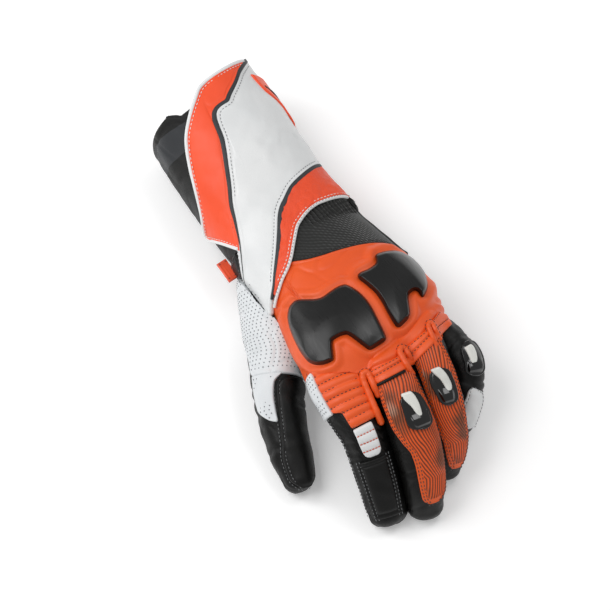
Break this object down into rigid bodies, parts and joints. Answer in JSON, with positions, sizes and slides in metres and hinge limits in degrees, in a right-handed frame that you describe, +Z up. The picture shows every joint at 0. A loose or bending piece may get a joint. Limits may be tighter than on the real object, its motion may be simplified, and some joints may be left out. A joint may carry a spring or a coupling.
{
  "type": "long-cuff motorcycle racing glove",
  "caption": "Left-hand long-cuff motorcycle glove in orange, white and black leather, with hard knuckle guards, finger sliders and a knit wrist.",
  "frame": {"origin": "middle of the footprint, on the table under the glove", "axes": "+Y from the fingertips to the open cuff, +X towards the little finger, +Z up out of the back of the hand"},
  "size_m": [0.1548, 0.3404, 0.086],
  "materials": {
    "white_leather": "smooth white leather, stitched",
    "orange_leather": "smooth bright orange leather, stitched",
    "textured_leather": "burnt orange leather with fine pressed grooves",
    "perforated_leather": "white leather with rows of small holes",
    "black_leather": "black leather, satin",
    "charcoal_trim": "charcoal trim strip",
    "white_piping": "white piping",
    "black_knit": "ribbed black stretch knit",
    "gloss_guard": "glossy dark hard plastic",
    "pale_insert": "pale insert"
  },
  "bodies": {
    "root": {"centre_panel": "white_leather", "thumb_side_stripe": "charcoal_trim", "outer_stripe": "charcoal_trim", "thumb_side_flap": "orange_leather", "outer_cuff_patch": "orange_leather", "rim_wedge": "orange_leather", "lower_cuff": "black_leather", "flap_piping": "white_piping", "patch_piping": "white_piping", "wrist_ribbing": "black_knit", "wrist_side_strip": "black_leather", "wrist_strap": "black_leather", "strap_tab": "orange_leather", "hand_back": "orange_leather", "palm": "black_leather", "knuckle_guard_index": "gloss_guard", "knuckle_guard_ring": "gloss_guard", "thumb_gusset": "perforated_leather", "thumb_sheath": "black_leather", "thumb_top": "black_leather", "index_sheath": "black_leather", "index_ribbing": "orange_leather", "index_web_panel": "perforated_leather", "index_patch": "white_leather", "index_tip": "black_leather", "middle_sheath": "black_leather", "middle_top": "textured_leather", "middle_slider": "gloss_guard", "middle_insert": "pale_insert", "ring_sheath": "black_leather", "ring_top": "textured_leather", "ring_slider": "gloss_guard", "ring_insert": "pale_insert", "little_sheath": "black_leather", "little_slider": "gloss_guard", "little_insert": "pale_insert", "little_patch": "white_leather", "loop_index_middle": "orange_leather", "loop_middle_ring": "orange_leather", "loop_ring_little": "orange_leather"}
  },
  "joints": []
}
